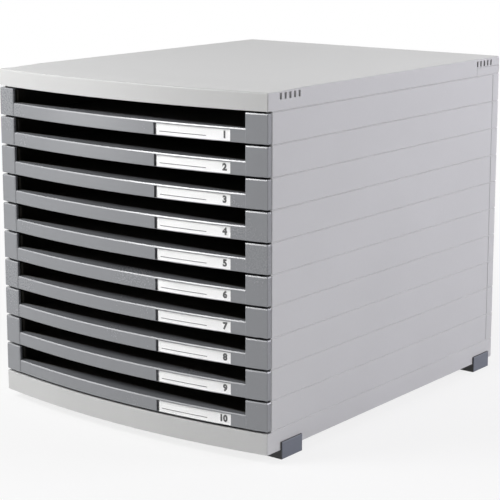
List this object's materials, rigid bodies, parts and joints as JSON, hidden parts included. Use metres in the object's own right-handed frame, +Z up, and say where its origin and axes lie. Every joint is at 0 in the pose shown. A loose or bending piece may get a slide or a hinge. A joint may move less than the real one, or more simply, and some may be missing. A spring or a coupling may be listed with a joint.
{
  "type": "stacked drawer organizer",
  "caption": "Desktop box of shallow open-fronted drawers with a bowed front, label strips, grooved side walls and angle feet; each drawer slides out forwards.",
  "frame": {"origin": "middle of the box's outline in plan, on the surface that its feet stand on", "axes": "+X to the right seen from the front, +Y from the bowed front to the back, +Z up"},
  "size_m": [0.3186, 0.4014, 0.3202],
  "materials": {
    "housing_plastic": "fine moulded texture, light grey",
    "front_plastic": "fine moulded texture, mid blue-grey",
    "tray_plastic": "satin moulding, black",
    "foot_plastic": "satin moulding, dark blue-grey",
    "card": "uncoated white card",
    "window": "clear polished strip"
  },
  "bodies": {
    "housing": {"top_cover": "housing_plastic", "base": "housing_plastic", "left_side_panel": "housing_plastic", "right_side_panel": "housing_plastic", "back_panel": "housing_plastic", "rear_corner_clip_left": "housing_plastic", "rear_corner_clip_right": "housing_plastic", "foot_front_left": "foot_plastic", "foot_front_right": "foot_plastic", "foot_rear_left": "foot_plastic", "foot_rear_right": "foot_plastic"},
    "drawer_01": {"drawer_tray_01": "tray_plastic", "drawer_front_01": "front_plastic", "label_card_01": "card", "label_window_01": "window"},
    "drawer_02": {"drawer_tray_02": "tray_plastic", "drawer_front_02": "front_plastic", "label_card_02": "card", "label_window_02": "window"},
    "drawer_03": {"drawer_tray_03": "tray_plastic", "drawer_front_03": "front_plastic", "label_card_03": "card", "label_window_03": "window"},
    "drawer_04": {"drawer_tray_04": "tray_plastic", "drawer_front_04": "front_plastic", "label_card_04": "card", "label_window_04": "window"},
    "drawer_05": {"drawer_tray_05": "tray_plastic", "drawer_front_05": "front_plastic", "label_card_05": "card", "label_window_05": "window"},
    "drawer_06": {"drawer_tray_06": "tray_plastic", "drawer_front_06": "front_plastic", "label_card_06": "card", "label_window_06": "window"},
    "drawer_07": {"drawer_tray_07": "tray_plastic", "drawer_front_07": "front_plastic", "label_card_07": "card", "label_window_07": "window"},
    "drawer_08": {"drawer_tray_08": "tray_plastic", "drawer_front_08": "front_plastic", "label_card_08": "card", "label_window_08": "window"},
    "drawer_09": {"drawer_tray_09": "tray_plastic", "drawer_front_09": "front_plastic", "label_card_09": "card", "label_window_09": "window"},
    "drawer_10": {"drawer_tray_10": "tray_plastic", "drawer_front_10": "front_plastic", "label_card_10": "card", "label_window_10": "window"}
  },
  "joints": [
    {"name": "drawer_01_slide", "type": "slide", "parent": "housing", "child": "drawer_01", "axis": [0, -1, 0], "range_m": [0, 0.26]},
    {"name": "drawer_02_slide", "type": "slide", "parent": "housing", "child": "drawer_02", "axis": [0, -1, 0], "range_m": [0, 0.26]},
    {"name": "drawer_03_slide", "type": "slide", "parent": "housing", "child": "drawer_03", "axis": [0, -1, 0], "range_m": [0, 0.26]},
    {"name": "drawer_04_slide", "type": "slide", "parent": "housing", "child": "drawer_04", "axis": [0, -1, 0], "range_m": [0, 0.26]},
    {"name": "drawer_05_slide", "type": "slide", "parent": "housing", "child": "drawer_05", "axis": [0, -1, 0], "range_m": [0, 0.26]},
    {"name": "drawer_06_slide", "type": "slide", "parent": "housing", "child": "drawer_06", "axis": [0, -1, 0], "range_m": [0, 0.26]},
    {"name": "drawer_07_slide", "type": "slide", "parent": "housing", "child": "drawer_07", "axis": [0, -1, 0], "range_m": [0, 0.26]},
    {"name": "drawer_08_slide", "type": "slide", "parent": "housing", "child": "drawer_08", "axis": [0, -1, 0], "range_m": [0, 0.26]},
    {"name": "drawer_09_slide", "type": "slide", "parent": "housing", "child": "drawer_09", "axis": [0, -1, 0], "range_m": [0, 0.26]},
    {"name": "drawer_10_slide", "type": "slide", "parent": "housing", "child": "drawer_10", "axis": [0, -1, 0], "range_m": [0, 0.26]}
  ]
}
